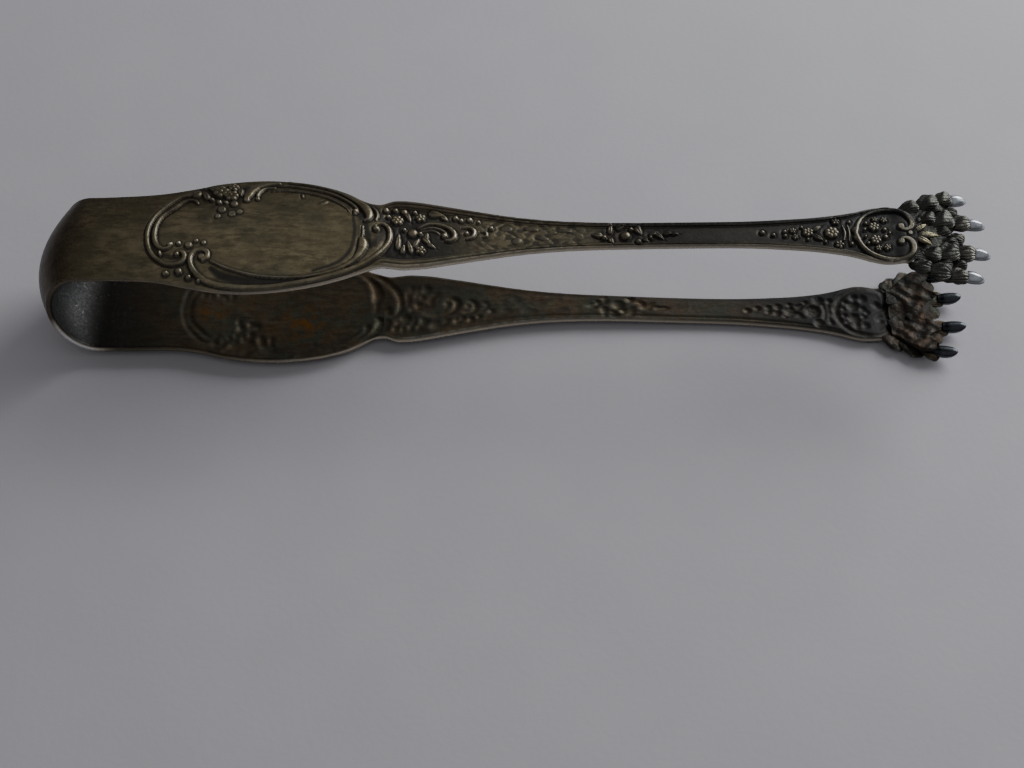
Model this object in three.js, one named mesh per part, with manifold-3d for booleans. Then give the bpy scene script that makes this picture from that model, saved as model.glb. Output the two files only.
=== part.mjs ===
// Bow-spring ice tongs with claw feet: a sprung bow, two struck arms, two claw feet and eight talons.
// Millimetres. X runs from the bow to the talons, Y runs across the strip and Z is up. The tongs lie on
// z = 0 on the outer face of the lower arm. The upper side is one shape, and the lower side is that
// shape turned half round about the X axis of the plane between the arms.
import * as THREE from "three";
import { mergeVertices } from "three/addons/utils/BufferGeometryUtils.js";
import Module from "manifold-3d";

const wasm = await Module();
wasm.setup();

// ---- driving dimensions ------------------------------------------------------------------------------
// X is counted from the crown of the bow, and heights from the plane between the arms.
const LENGTH = 150; // crown of the bow to the tips of the long talons
const REST_HEIGHT = 10.9; // the flats that the tongs lie on
const STRIP = 1.0; // thickness of the strip
const JOIN_GAP = 0.3; // left between neighbouring pieces

const ARM_START = 9.0; // where the bow's half turn ends and the arm begins
const EDGE_HEIGHT = 9.0; // middle of the strip's edges where the bow meets the arm
const END_DOME = 1.0; // how far the strip's centre line stands past its edges there
const CROWN_DOME = 2.7; // and at the crown of the bow

const FOOT_START = 136.5; // where the arm's heart ends and the claw foot begins

// Half width of the strip from the stem to the heart, on both sides of its centre line.
const STEM_WIDTH = [
  [65, 5.85], [70, 4.85], [75, 3.9], [80, 3.2], [85, 2.8], [90, 2.6], [98, 2.5], [108, 2.5], [113, 2.6],
  [118, 2.9], [123, 3.35], [128, 4.2], [133, 5.55], [137, 5.25],
];
// And from the bow to the waist: the +Y side, then the -Y side, where the plate's long scroll swells it.
const FAR_WIDTH = [
  [0, 8.25], [9, 8.25], [15, 8.4], [21, 8.65], [25, 9.3], [29, 10.3], [33, 10.85], [37, 11.05], [41, 10.75],
  [45, 10.05], [49, 8.7], [52, 7.0], [54.5, 6.15], [57, 6.85], [60, 6.75], ...STEM_WIDTH,
];
const NEAR_WIDTH = [
  [0, 8.25], [9, 8.25], [15, 8.4], [20, 8.9], [25, 10.2], [30, 11.25], [34, 11.55], [38, 11.35], [42, 10.75],
  [46, 9.8], [50, 8.4], [53, 7.1], [55.5, 6.35], [58, 6.75], [62, 6.45], ...STEM_WIDTH,
];
// Height of the middle of the strip's edges.
const ARM_HEIGHT = [
  [9, 9.0], [20, 9.0], [35, 9.2], [60, 9.2], [74, 9.1], [90, 9.3], [110, 9.75], [124, 9.85], [134, 9.6],
];
// How far the strip's centre line stands outwards past its edges.
const ARM_DOME = [
  [9, 1.0], [20, 0.9], [36, 1.3], [52, 0.7], [60, 0.4], [80, 0.15], [120, 0.15], [134, 0.5], [137, 0.6],
];

const FOOT_THICKNESS = 1.2;
const FOOT_HALF_WIDTH = [5.0, 8.6]; // behind, and where the toes spread
const FOOT_PLATE_END = 144.2;
const PAW_HEIGHT = [[136, 10.15], [141, 9.8], [145, 9.3], [148, 8.9]]; // middle of the paw's plate
const PAW_ARCH = 0.008; // the paw curves down towards its sides by this times the distance across squared
// One outer and one inner toe. Each knuckle is [distance from the crown, distance across, size].
const OUTER_TOE = [[138.1, 5.8, 0.9], [140.5, 7.1, 1.05], [143.3, 7.6, 1.0]];
const INNER_TOE = [[139.8, 2.7, 0.9], [142.4, 3.2, 1.0], [145.0, 3.1, 1.05]];
const KNUCKLE_SIZE = [1.9, 1.6, 1.1]; // half length, half width and half height
const KNUCKLE_LIFT = 0.4; // how far a knuckle's middle stands outwards of the plate's
const TALON_RADIUS = 0.9;
const TALON_LENGTH = 2.7;
const TALON_CURL = 0.08; // a talon's drop towards the other arm is this times its length squared
// A talon's outline, [share of its radius, share of its length].
const TALON_OUTLINE = [[0, 0], [0.9, 0], [1, 0.15], [0.93, 0.45], [0.66, 0.75], [0.35, 0.93], [0, 1]];

// ---- shared forms ------------------------------------------------------------------------------------
/** A smooth function through [x, value] pairs, level beyond both ends. */
function curveThrough(pairs) {
  const points = pairs.map(([x, value]) => new THREE.Vector2(x, value));
  return (x) => {
    const last = points.length - 1;
    if (x <= points[0].x) return points[0].y;
    if (x >= points[last].x) return points[last].y;
    const i = points.findIndex((p) => p.x > x) - 1;
    const [p0, p1, p2, p3] = [Math.max(i - 1, 0), i, i + 1, Math.min(i + 2, last)].map((k) => points[k]);
    const span = p2.x - p1.x;
    const slope1 = ((p2.y - p0.y) / (p2.x - p0.x)) * span;
    const slope2 = ((p3.y - p1.y) / (p3.x - p1.x)) * span;
    const t = (x - p1.x) / span;
    return (
      p1.y * (2 * t ** 3 - 3 * t ** 2 + 1) +
      slope1 * (t ** 3 - 2 * t ** 2 + t) +
      p2.y * (3 * t ** 2 - 2 * t ** 3) +
      slope2 * (t ** 3 - t ** 2)
    );
  };
}
const farWidth = curveThrough(FAR_WIDTH);
const nearWidth = curveThrough(NEAR_WIDTH);
const armHeight = curveThrough(ARM_HEIGHT);
const armDome = curveThrough(ARM_DOME);
const pawMiddle = curveThrough(PAW_HEIGHT);

/** The distance across the strip at a share v of its width, from -1 to 1. */
const across = (x, v) => v * (v > 0 ? farWidth(x) : nearWidth(x));

/** A closed blank of strip. place puts each point: u 0 to 1 along, v -1 to 1 across, out 0.5 or -0.5. */
function formedStrip(cellsAlong, cellsAcross, place) {
  const blank = new THREE.BoxGeometry(1, 2, 1, cellsAlong, cellsAcross, 1);
  const at = blank.attributes.position;
  for (let i = 0; i < at.count; i++) {
    const p = place(at.getX(i) + 0.5, at.getY(i), at.getZ(i));
    at.setXYZ(i, p.x, p.y, p.z);
  }
  return bare(blank);
}

/** The geometry with only its positions left and its shared corners merged. */
function bare(geometry) {
  geometry.deleteAttribute("normal");
  geometry.deleteAttribute("uv");
  return mergeVertices(geometry, 1e-4);
}

/** A closed geometry as a manifold-3d solid, for joining and cutting. */
function solid(geometry) {
  const merged = bare(geometry);
  const vertProperties = new Float32Array(merged.attributes.position.array);
  const triVerts = new Uint32Array(merged.index.array);
  return new wasm.Manifold(new wasm.Mesh({ numProp: 3, vertProperties, triVerts }));
}

/** A manifold-3d solid as a three.js geometry. */
function geometryOf(made) {
  const mesh = made.getMesh();
  const geometry = new THREE.BufferGeometry();
  geometry.setAttribute("position", new THREE.BufferAttribute(new Float32Array(mesh.vertProperties), 3));
  return geometry.setIndex([...mesh.triVerts]);
}

/** A solid cut off level at the height that the tongs rest on. */
function restingFlat(made) {
  const above = new THREE.BoxGeometry(LENGTH, 40, 10).translate(LENGTH / 2, 0, REST_HEIGHT + 5);
  return made.subtract(solid(above));
}

const plated = new THREE.MeshStandardMaterial({ color: 0x7d7562, roughness: 0.42, metalness: 1.0 });
const castSilver = new THREE.MeshStandardMaterial({ color: 0x6f6a5c, roughness: 0.5, metalness: 1.0 });
const brightTip = new THREE.MeshStandardMaterial({ color: 0xa9a9a6, roughness: 0.25, metalness: 1.0 });

function named(name, geometry, material) {
  const mesh = new THREE.Mesh(geometry, material);
  mesh.name = name;
  return mesh;
}

// ---- the sprung bow ----------------------------------------------------------------------------------
const BOW_CELLS = [28, 8];

/** The half turn of strip that joins the arms. It is domed outwards, most of all at its crown. */
function bowGeometry() {
  const endTurn = JOIN_GAP / 2 / EDGE_HEIGHT;
  return formedStrip(...BOW_CELLS, (u, v, out) => {
    const turn = (2 * u - 1) * (Math.PI / 2 - endTurn); // 0 at the crown
    const bulge = 1 - v * v;
    const reachX = ARM_START - STRIP / 2 - CROWN_DOME * (1 - bulge) + out * STRIP;
    const reachZ = EDGE_HEIGHT + END_DOME * bulge + out * STRIP;
    const x = ARM_START - reachX * Math.cos(turn);
    return new THREE.Vector3(x, across(0, v), reachZ * Math.sin(turn));
  });
}

// ---- an arm ------------------------------------------------------------------------------------------
const ARM_CELLS = [72, 8];

/** The struck arm: oval plate, waist, tapering stem and heart, as one domed strip. */
function armGeometry() {
  const start = ARM_START + JOIN_GAP / 2;
  const end = FOOT_START - JOIN_GAP / 2;
  const strip = formedStrip(...ARM_CELLS, (u, v, out) => {
    const x = THREE.MathUtils.lerp(start, end, u);
    const z = armHeight(x) + armDome(x) * (1 - v * v) + out * STRIP;
    return new THREE.Vector3(x, across(x, v), z);
  });
  return geometryOf(restingFlat(solid(strip)));
}

// ---- a claw foot -------------------------------------------------------------------------------------
const FOOT_CELLS = [6, 8];
const KNUCKLE_CELLS = [12, 8];

/** The height of the middle of the paw's plate at a distance from the crown and a distance across. */
const pawHeight = (x, y) => pawMiddle(x) - PAW_ARCH * y * y;

const toes = [1, -1].flatMap((hand) => {
  const mirrored = (toe) => toe.map(([x, y, size]) => ({ x, y: y * hand, size }));
  return hand > 0 ? [mirrored(OUTER_TOE), mirrored(INNER_TOE)] : [mirrored(INNER_TOE), mirrored(OUTER_TOE)];
});

/** The plate that the toes stand on. */
function footPlate() {
  const start = FOOT_START + JOIN_GAP / 2;
  return formedStrip(...FOOT_CELLS, (u, v, out) => {
    const x = THREE.MathUtils.lerp(start, FOOT_PLATE_END, u);
    const half = THREE.MathUtils.lerp(...FOOT_HALF_WIDTH, THREE.MathUtils.smoothstep(u, 0, 0.9));
    return new THREE.Vector3(x, v * half, pawHeight(x, v * half) + out * FOOT_THICKNESS);
  });
}

/** One knuckle of a toe, a little flattened ball. */
function knuckle({ x, y, size }) {
  const halves = KNUCKLE_SIZE.map((half) => half * size);
  const ball = new THREE.SphereGeometry(1, ...KNUCKLE_CELLS).rotateX(Math.PI / 2).scale(...halves);
  return solid(ball.translate(x, y, pawHeight(x, y) + KNUCKLE_LIFT));
}

/** The foot: a plate with rows of knuckles, open and flat towards the other arm. */
function footGeometry() {
  const start = FOOT_START + JOIN_GAP / 2;
  const plate = solid(footPlate());
  const paw = toes.flat().reduce((made, each) => made.add(knuckle(each)), plate);
  const behindFoot = new THREE.BoxGeometry(20, 40, 40).translate(start - 10, 0, REST_HEIGHT);
  return geometryOf(restingFlat(paw.subtract(solid(behindFoot))));
}

// ---- a talon -----------------------------------------------------------------------------------------
const TALON_SIDES = 10;

/** A short curved spike that leaves the front of a toe and bends towards the other arm. */
function talonGeometry(toe) {
  const outline = TALON_OUTLINE.map(([r, t]) => new THREE.Vector2(r * TALON_RADIUS, t * TALON_LENGTH));
  const spike = bare(new THREE.LatheGeometry(outline, TALON_SIDES).rotateZ(-Math.PI / 2));
  const at = spike.attributes.position;
  for (let i = 0; i < at.count; i++) {
    at.setZ(i, at.getZ(i) - TALON_CURL * at.getX(i) ** 2);
  }
  const front = toe[toe.length - 1];
  const root = front.x + KNUCKLE_SIZE[0] * front.size + JOIN_GAP;
  return spike.translate(root, front.y, pawHeight(front.x, front.y));
}

// ---- the whole tongs ---------------------------------------------------------------------------------
/** One side's arm, foot and talons, drawn as the upper side. */
function armSide(label) {
  const group = new THREE.Group();
  group.add(named(`${label}_arm`, armGeometry(), plated));
  group.add(named(`${label}_claw_foot`, footGeometry(), castSilver));
  toes.forEach((toe, i) => group.add(named(`${label}_talon_${i + 1}`, talonGeometry(toe), brightTip)));
  return group;
}

const tongs = new THREE.Group();
tongs.position.set(-LENGTH / 2, 0, REST_HEIGHT);
tongs.add(named("spring_bow", bowGeometry(), plated));
tongs.add(armSide("upper"));
const lowerSide = armSide("lower");
lowerSide.rotation.x = Math.PI;
tongs.add(lowerSide);

export default tongs;
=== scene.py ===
# Looks of the claw-footed ice tongs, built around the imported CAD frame.
#
# Shapes are worked out in millimetres in the strip's own coordinates: x from the crown of the bow towards
# the talons, y across the strip, z outwards from the plane between the two arms. The lower side is the
# upper side turned half round about the X axis of that plane.
import math

import bpy
import numpy as np
from mathutils import Matrix, Vector


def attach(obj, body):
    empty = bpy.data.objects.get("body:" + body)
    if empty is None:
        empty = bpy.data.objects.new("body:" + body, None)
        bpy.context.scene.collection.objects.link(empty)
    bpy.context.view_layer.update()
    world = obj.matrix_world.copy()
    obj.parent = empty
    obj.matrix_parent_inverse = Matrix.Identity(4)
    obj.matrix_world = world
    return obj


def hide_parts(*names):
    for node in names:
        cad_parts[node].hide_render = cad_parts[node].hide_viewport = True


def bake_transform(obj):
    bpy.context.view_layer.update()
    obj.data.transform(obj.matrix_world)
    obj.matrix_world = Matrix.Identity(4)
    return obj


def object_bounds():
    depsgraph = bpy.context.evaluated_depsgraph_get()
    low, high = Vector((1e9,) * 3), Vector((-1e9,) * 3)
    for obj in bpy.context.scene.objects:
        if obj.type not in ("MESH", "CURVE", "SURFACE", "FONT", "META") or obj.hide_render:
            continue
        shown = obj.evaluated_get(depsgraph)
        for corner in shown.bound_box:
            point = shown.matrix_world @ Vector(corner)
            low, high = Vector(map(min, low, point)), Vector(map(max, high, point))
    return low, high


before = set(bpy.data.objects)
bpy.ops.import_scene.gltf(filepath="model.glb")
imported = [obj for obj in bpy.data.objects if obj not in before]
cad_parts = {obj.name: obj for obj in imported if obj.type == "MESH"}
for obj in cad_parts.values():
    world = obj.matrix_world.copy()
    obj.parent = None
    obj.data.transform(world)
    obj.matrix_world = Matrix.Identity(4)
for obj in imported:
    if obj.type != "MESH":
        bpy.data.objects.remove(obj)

CAD_BOX = [list(corner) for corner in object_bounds()]
LOW, HIGH = (Vector(corner) for corner in CAD_BOX)
MM = 0.001
MIDDLE_Z = (LOW.z + HIGH.z) / 2
REST_HEIGHT = (HIGH.z - LOW.z) / 2 / MM  # outermost flats, from the plane between the arms


# ---- camera ------------------------------
CAMERA_ELEVATION = math.radians(55.18)
CAMERA_YAW = math.radians(0.53)
CAMERA_ROLL = math.radians(0.67)
CAMERA_DISTANCE = 0.2665
CAMERA_AIM = Vector((LOW.x + 0.07555, -0.02154, MIDDLE_Z))
CAMERA_LENS = 61.1  # mm
CAMERA_SENSOR = 36  # mm wide


def make_camera():
    ahead = Vector((
        math.sin(CAMERA_YAW) * math.cos(CAMERA_ELEVATION),
        math.cos(CAMERA_YAW) * math.cos(CAMERA_ELEVATION),
        -math.sin(CAMERA_ELEVATION),
    ))
    right = ahead.cross(Vector((0, 0, 1))).normalized()
    right = Matrix.Rotation(-CAMERA_ROLL, 3, ahead) @ right
    up = right.cross(ahead)
    data = bpy.data.cameras.new("camera")
    data.lens = CAMERA_LENS
    data.sensor_width = CAMERA_SENSOR
    data.clip_start = 0.01
    camera = bpy.data.objects.new("camera", data)
    turn = Matrix((right, up, -ahead)).transposed().to_4x4()
    camera.matrix_world = Matrix.Translation(CAMERA_AIM - ahead * CAMERA_DISTANCE) @ turn
    bpy.context.scene.collection.objects.link(camera)
    bpy.context.scene.camera = camera


make_camera()


# ---- the strip, measured from the CAD arm ------------------------------
SAME = 0.02  # mm: CAD corners this close are in line


def node_points(node):
    """A CAD node's corners in strip millimetres."""
    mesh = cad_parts[node].data
    flat = np.zeros(len(mesh.vertices) * 3)
    mesh.vertices.foreach_get("co", flat)
    return (flat.reshape(-1, 3) - (LOW.x, 0, MIDDLE_Z)) / MM


def eased(start, end, start_slope, end_slope, t):
    """A smooth step from start to end as t goes from 0 to 1."""
    rise = start * (2 * t**3 - 3 * t**2 + 1) + end * (3 * t**2 - 2 * t**3)
    return rise + start_slope * (t**3 - 2 * t**2 + t) + end_slope * (t**3 - t**2)


def curve_through(xs, values):
    """A smooth function through points, level beyond both ends."""
    xs = np.asarray(xs, float)
    values = np.asarray(values, float)
    slopes = np.zeros_like(values)
    slopes[1:-1] = (values[2:] - values[:-2]) / (xs[2:] - xs[:-2])

    def at(x):
        x = np.clip(x, xs[0], xs[-1])
        i = np.clip(np.searchsorted(xs, x, side="right") - 1, 0, len(xs) - 2)
        span = xs[i + 1] - xs[i]
        return eased(values[i], values[i + 1], slopes[i] * span, slopes[i + 1] * span, (x - xs[i]) / span)

    return at


def line_through(values, at):
    """A smooth line through evenly spaced values, still sloped at both ends."""
    slopes = np.gradient(values)
    i = np.clip(at.astype(int), 0, len(values) - 2)
    return eased(values[i], values[i + 1], slopes[i], slopes[i + 1], at - i)


def smoothstep(low, high, value):
    t = np.clip((value - low) / (high - low), 0, 1)
    return t * t * (3 - 2 * t)


def turned(x, y, degrees):
    """The place x, y turned round the origin."""
    c, s = math.cos(math.radians(degrees)), math.sin(math.radians(degrees))
    return x * c - y * s, x * s + y * c


def measure_arm():
    """The CAD arm's stations, both half widths, edge height and dome along them, and its thickness."""
    points = node_points("upper_arm")
    stations = []
    for x in np.unique(points[:, 0].round(2)):
        ring = points[abs(points[:, 0] - x) < SAME]
        far = ring[:, 1].max()
        edge = ring[ring[:, 1] > far - SAME][:, 2]
        spine = ring[abs(ring[:, 1]) < SAME][:, 2]
        if len(ring) > 12 and len(edge) > 1 and len(spine):
            middle = (edge.min() + edge.max()) / 2
            stations.append((x, far, -ring[:, 1].min(), middle, spine.min() - edge.min(), np.ptp(edge)))
    x, *columns, thickness = np.array(stations).T
    return x, *(curve_through(x, column) for column in columns), np.median(thickness)


ARM_X, far_width, near_width, edge_height, dome_height, STRIP = measure_arm()
BOW_POINTS = node_points("spring_bow")
ARM_START = (BOW_POINTS[:, 0].max() + ARM_X[0]) / 2
NOTCH_X = 54.6  # the waist where the oval plate ends and the stem begins
LEAVES_X = 74.0  # the middle of the stem's worn leaves
HEART_X = 112.0  # where the stem's plain stretch ends and the beads begin
HEART_ROUND = 136.6  # where its corners start to round
HEART_END = 138.5  # the heart's lobes lie on the paw
EDGE_ROUND = STRIP / 2


def half_width(x, y):
    """Half width of the strip on the side of its centre line that y is on."""
    return np.where(y > 0, far_width(x), near_width(x))


def strip_middle(x, y):
    """Height of the middle of the strip."""
    across = np.clip(y / half_width(x, y), -1, 1)
    return edge_height(x) + dome_height(x) * (1 - across**2)


REST_EASE = 0.05


def below_rest(z):
    """Heights eased so that none passes the flats that the tongs rest on."""
    return z - REST_EASE * np.logaddexp(0, (z - REST_HEIGHT + 0.8 * REST_EASE) / REST_EASE)


# ---- meshes ------------------------------
# The old tongs are a little bent: how far each side stands off the middle, along the frame's Y axis.
SWAY = {
    1: curve_through([9, 16, 25], [-0.7, -0.5, 0]),
    -1: curve_through(
        [9, 16, 25, 30, 50, 58, 68, 88, 102, 116, 130, 147],
        [-0.7, -0.5, 0, 0, 0, 0.1, 0.33, 0.33, 0.15, 0, -0.25, -0.65],
    ),
}


def in_frame(points, hand):
    """Strip millimetres to metres in the CAD frame. hand is 1 for the upper side and -1 for the lower."""
    placed = points * (1, hand, hand)
    placed[..., 1] += SWAY[hand](points[..., 0])
    return placed * MM + (LOW.x, 0, MIDDLE_Z)


def sharpen_caps(mesh, face_sizes):
    """Keeps the flat caps out of the smooth shading of the sides."""
    cap_loops = np.repeat(face_sizes > 4, face_sizes)
    edges = np.zeros(len(mesh.loops), np.int32)
    mesh.loops.foreach_get("edge_index", edges)
    sharp = np.zeros(len(mesh.edges), bool)
    sharp[edges[cap_loops]] = True
    mesh.edges.foreach_set("use_edge_sharp", sharp)
    mesh.polygons.foreach_set("use_smooth", face_sizes <= 4)


def make_mesh(name, points, faces, face_sizes, values):
    """A smooth mesh object from flat arrays, with one float per point for each name in values."""
    mesh = bpy.data.meshes.new(name)
    mesh.vertices.add(len(points))
    mesh.vertices.foreach_set("co", points.astype(np.float32).ravel())
    mesh.loops.add(len(faces))
    mesh.loops.foreach_set("vertex_index", faces.astype(np.int32))
    mesh.polygons.add(len(face_sizes))
    starts = np.concatenate(([0], np.cumsum(face_sizes)[:-1]))
    mesh.polygons.foreach_set("loop_start", starts.astype(np.int32))
    mesh.update(calc_edges=True)
    sharpen_caps(mesh, face_sizes)
    for key, value in values.items():
        attribute = mesh.attributes.new(key, "FLOAT", "POINT")
        attribute.data.foreach_set("value", np.asarray(value, np.float32).ravel())
    place = mesh.attributes.new("place", "FLOAT_VECTOR", "POINT")
    place.data.foreach_set("vector", (points / MM).astype(np.float32).ravel())
    made = bpy.data.objects.new(name, mesh)
    bpy.context.scene.collection.objects.link(made)
    return made


def tube_faces(rows, columns, first=0):
    """Quads of a tube of closed rings, and a cap at each end, as flat corner numbers and face sizes."""
    i, j = np.meshgrid(np.arange(rows - 1), np.arange(columns), indexing="ij")
    k = (j + 1) % columns
    quads = np.stack([i * columns + j, i * columns + k, (i + 1) * columns + k, (i + 1) * columns + j], -1)
    first_cap = np.arange(columns)[::-1]
    last_cap = (rows - 1) * columns + np.arange(columns)
    faces = np.concatenate((quads.ravel(), first_cap, last_cap)) + first
    sizes = np.concatenate((np.full(quads.shape[0] * quads.shape[1], 4), [columns, columns]))
    return faces, sizes


# What the materials read at every point: dirt with painted shade, wear with some painted highlight, bright
# edge with painted highlight and glint, inner face, age with painted shade and three tints
VALUES = ("hollow_and_shade", "worn", "rim", "inside", "stain_and_shade", "amber", "gilt", "bowl")


def tube_piece(name, bodies, hand):
    """One object from several tubes. Each body is (rings of points, values per point)."""
    points, faces, sizes, values = [], [], [], {}
    count = 0
    for rings, extra in bodies:
        more_faces, more_sizes = tube_faces(*rings.shape[:2], first=count)
        points.append(rings.reshape(-1, 3))
        faces.append(more_faces)
        sizes.append(more_sizes)
        for key in VALUES:
            values.setdefault(key, []).append(np.broadcast_to(extra.get(key, 0), rings.shape[:2]).ravel())
        count += rings.shape[0] * rings.shape[1]
    merged = {key: np.concatenate(value) for key, value in values.items()}
    placed = in_frame(np.concatenate(points), hand)
    return make_mesh(name, placed, np.concatenate(faces), np.concatenate(sizes), merged)


def blurred(field, across_rows, across_columns):
    """A field softened by repeated averaging along its rows and columns."""
    soft = field.copy()
    for axis, passes in ((0, across_rows), (1, across_columns)):
        for _ in range(passes):
            padded = np.pad(soft, [(1, 1), (0, 0)] if axis == 0 else [(0, 0), (1, 1)], mode="edge")
            before = padded[:-2] if axis == 0 else padded[:, :-2]
            after = padded[2:] if axis == 0 else padded[:, 2:]
            soft = (before + 2 * soft + after) / 4
    return soft


# ---- struck relief ------------------------------
LINE_STEPS = 8  # straight stretches between two points of a relief line


class Relief:
    """Ornament over the places x, y of one face, in millimetres above the ground."""

    def __init__(self, x, y, soften=0.0):
        self.x = x
        self.y = y
        self.rows = x[:, 0]
        self.rise = np.zeros_like(y)
        self.cut = np.zeros_like(y)
        self.soot = np.zeros_like(y)
        self.soften = soften

    def patch(self, low, high):
        return slice(*np.searchsorted(self.rows, (low, high)))

    def lift(self, rows, reach, height, moat):
        """Raises a rounded form. reach is 0 on its spine and 1 at its foot."""
        inside = np.clip(1 - reach**2, 0, None)
        self.rise[rows] = np.maximum(self.rise[rows], height * np.sqrt(inside))
        beside = np.exp(-(np.clip(reach - 1, 0, None) / 0.6) ** 2)
        self.cut[rows] = np.maximum(self.cut[rows], moat * beside)
        self.soot[rows] = np.maximum(self.soot[rows], min(7 * moat, 0.85) * beside)

    def near_line(self, points, width):
        """For each stretch of a smooth line: the rows near it, the distances to it and its width shares."""
        spine = np.array([(*p, 1.0)[:3] for p in points], float)
        fine = np.linspace(0, len(spine) - 1, (len(spine) - 1) * LINE_STEPS + 1)
        line = np.stack([line_through(spine[:, k], fine) for k in range(3)], -1)
        for a, b in zip(line[:-1], line[1:]):
            margin = (width * max(a[2], b[2]) + self.soften) * 2.2
            rows = self.patch(min(a[0], b[0]) - margin, max(a[0], b[0]) + margin)
            along = b[:2] - a[:2]
            px = self.x[rows] - a[0]
            py = self.y[rows] - a[1]
            t = np.clip((px * along[0] + py * along[1]) / (along @ along + 1e-9), 0, 1)
            yield rows, np.hypot(px - t * along[0], py - t * along[1]), a[2] + (b[2] - a[2]) * t

    def cord(self, points, width, height=0.38, moat=0.12):
        """A rounded ridge along a smooth line. points are (x, y) or (x, y, width share)."""
        for rows, distance, share in self.near_line(points, width):
            self.lift(rows, distance / (width * share + self.soften), height * np.sqrt(share), moat)

    def dirt(self, points, width, depth=0.9):
        """Dirt in the ground along a smooth line."""
        for rows, distance, share in self.near_line(points, width):
            dark = depth * np.exp(-((distance / (width * share)) ** 4))
            self.soot[rows] = np.maximum(self.soot[rows], dark)

    def drop(self, x, y, length, width, angle=0.0, height=0.45, point=0.0, moat=0.12):
        """An oval or leaf-shaped drop of half length and half width, turned by angle degrees."""
        length = length + self.soften
        width = width + self.soften
        rows = self.patch(x - 2 * length, x + 2 * length)
        along, across = turned(self.x[rows] - x, self.y[rows] - y, -angle)
        taper = 1 - point * np.clip(along / length, -1, 1)
        self.lift(rows, np.hypot(along / length, across / width / np.maximum(taper, 0.15)), height, moat)

    def pearl(self, x, y, radius, height=0.5):
        self.drop(x, y, radius, radius, height=height)

    def pearls(self, places):
        for place in places:
            self.pearl(*place)

    def leaf(self, x, y, length, width, angle, height=0.42):
        """A pointed leaf with a cut midrib."""
        self.drop(x, y, length, width, angle, height, point=0.55)
        self.groove(x, y, length * 0.8, angle)

    def leaves(self, places):
        for place in places:
            self.leaf(*place)

    def groove(self, x, y, length, angle, width=0.09, depth=0.16):
        """A cut in what stands out, of half length and half width."""
        rows = self.patch(x - length - 0.3, x + length + 0.3)
        along, across = turned(self.x[rows] - x, self.y[rows] - y, -angle)
        cut = np.exp(-((across / width) ** 2)) * np.clip(1 - (along / length) ** 4, 0, 1)
        self.rise[rows] -= depth * cut * (self.rise[rows] > depth)

    def flower(self, x, y, radius, petals=5, turn=0.0, height=0.5):
        """Petals round a small pearl."""
        for k in range(petals):
            angle = turn + 360 * k / petals
            ahead, aside = turned(0.55 * radius, 0, angle)
            self.drop(x + ahead, y + aside, 0.46 * radius, 0.4 * radius, angle, 0.85 * height, point=-0.2)
        self.pearl(x, y, radius * 0.3, height * 1.1)

    def height(self):
        return self.rise - self.cut * np.clip(1 - self.rise / 0.1, 0, 1)


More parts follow.
